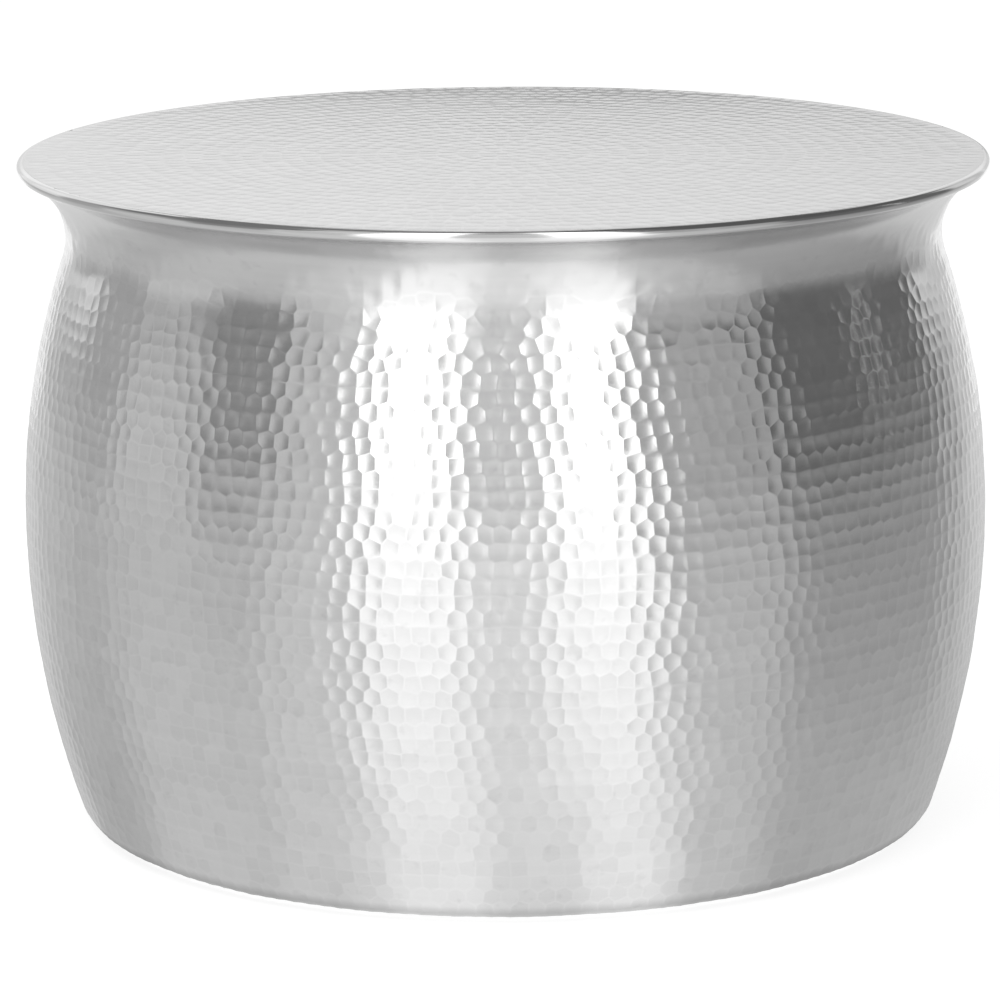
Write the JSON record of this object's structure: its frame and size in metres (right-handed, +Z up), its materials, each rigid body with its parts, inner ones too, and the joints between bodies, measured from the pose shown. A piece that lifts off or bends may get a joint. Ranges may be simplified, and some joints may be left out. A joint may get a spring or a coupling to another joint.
{
  "type": "drum side table",
  "caption": "Round drum side table in hammered aluminium sheet, with a bellied wall, a flared lip with a polished bead, a flat top and an open base on rubber bumpers.",
  "frame": {"origin": "on the floor under the middle of the drum", "axes": "+Z up along the drum's axis; the drum is round, so +X and +Y are free; a bumper lies at 45 degrees from each"},
  "size_m": [0.6, 0.6, 0.417],
  "materials": {
    "hammered_wall": "hammered and buffed, semi-bright",
    "polished_rim": "smooth and polished",
    "steel_wire": "drawn wire",
    "hammered_top": "finely hammered, satin",
    "board": "raw fibreboard",
    "ring_metal": "mill finish",
    "zinc_screws": "zinc plated",
    "rubber": "matt"
  },
  "bodies": {
    "root": {"body_shell": "hammered_wall", "rim_bead": "polished_rim", "rim_wire": "steel_wire", "top_disc": "hammered_top", "top_board": "board", "support_ring": "ring_metal", "board_screws": "zinc_screws", "foot_bumpers": "rubber"}
  },
  "joints": []
}
